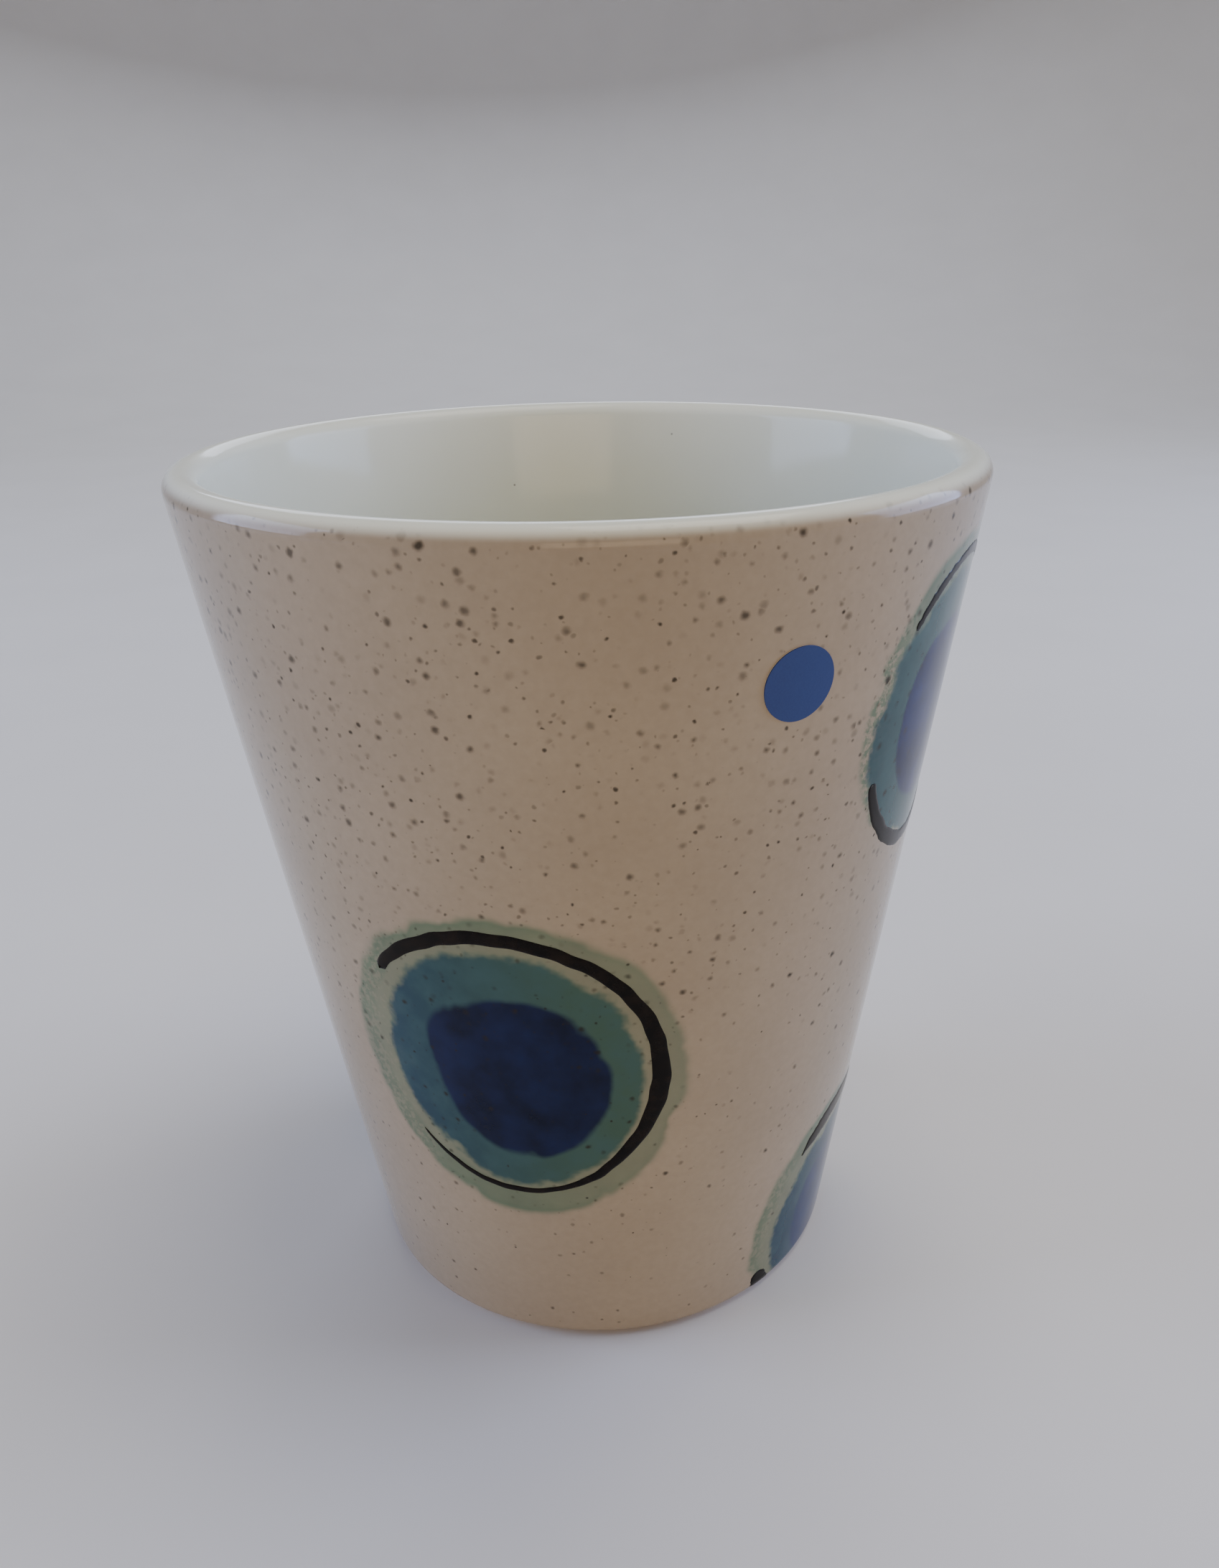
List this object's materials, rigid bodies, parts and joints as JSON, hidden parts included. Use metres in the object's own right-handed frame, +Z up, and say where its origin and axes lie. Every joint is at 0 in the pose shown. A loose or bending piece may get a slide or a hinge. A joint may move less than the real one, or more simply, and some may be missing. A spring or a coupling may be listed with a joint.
{
  "type": "handleless stoneware mug",
  "caption": "Handleless conical stoneware mug with a pale glazed bore, a speckled outer glaze and brushed round motifs in green, blue-green, navy and black.",
  "frame": {"origin": "centre of the foot ring, on the plane that the mug rests on", "axes": "+Z up along the axis that the mug was thrown about; -Y faces the side between the front motif and the price dot, +X is to that side's right"},
  "size_m": [0.0954, 0.0954, 0.107],
  "materials": {
    "bare_stoneware": "matte",
    "liner_glaze": "gloss",
    "outer_glaze": "gloss",
    "green_wash": "gloss",
    "teal_slip": "gloss",
    "navy_slip": "gloss",
    "black_brushwork": "gloss",
    "blue_paper": "matte",
    "adhesive": "satin"
  },
  "bodies": {
    "root": {"clay_body": "bare_stoneware", "liner_glaze": "liner_glaze", "outer_glaze": "outer_glaze", "underside_glaze": "liner_glaze", "price_dot": "blue_paper", "dot_adhesive": "adhesive", "front_halo": "green_wash", "front_ring": "teal_slip", "front_core": "navy_slip", "front_line": "black_brushwork", "right_upper_halo": "green_wash", "right_upper_ring": "teal_slip", "right_upper_core": "navy_slip", "right_upper_line": "black_brushwork", "right_lower_halo": "green_wash", "right_lower_ring": "teal_slip", "right_lower_core": "navy_slip", "right_lower_line": "black_brushwork", "back_halo": "green_wash", "back_ring": "teal_slip", "back_core": "navy_slip", "back_line": "black_brushwork", "left_upper_halo": "green_wash", "left_upper_ring": "teal_slip", "left_upper_core": "navy_slip", "left_upper_line": "black_brushwork", "left_lower_halo": "green_wash", "left_lower_ring": "teal_slip", "left_lower_core": "navy_slip", "left_lower_line": "black_brushwork"}
  },
  "joints": []
}
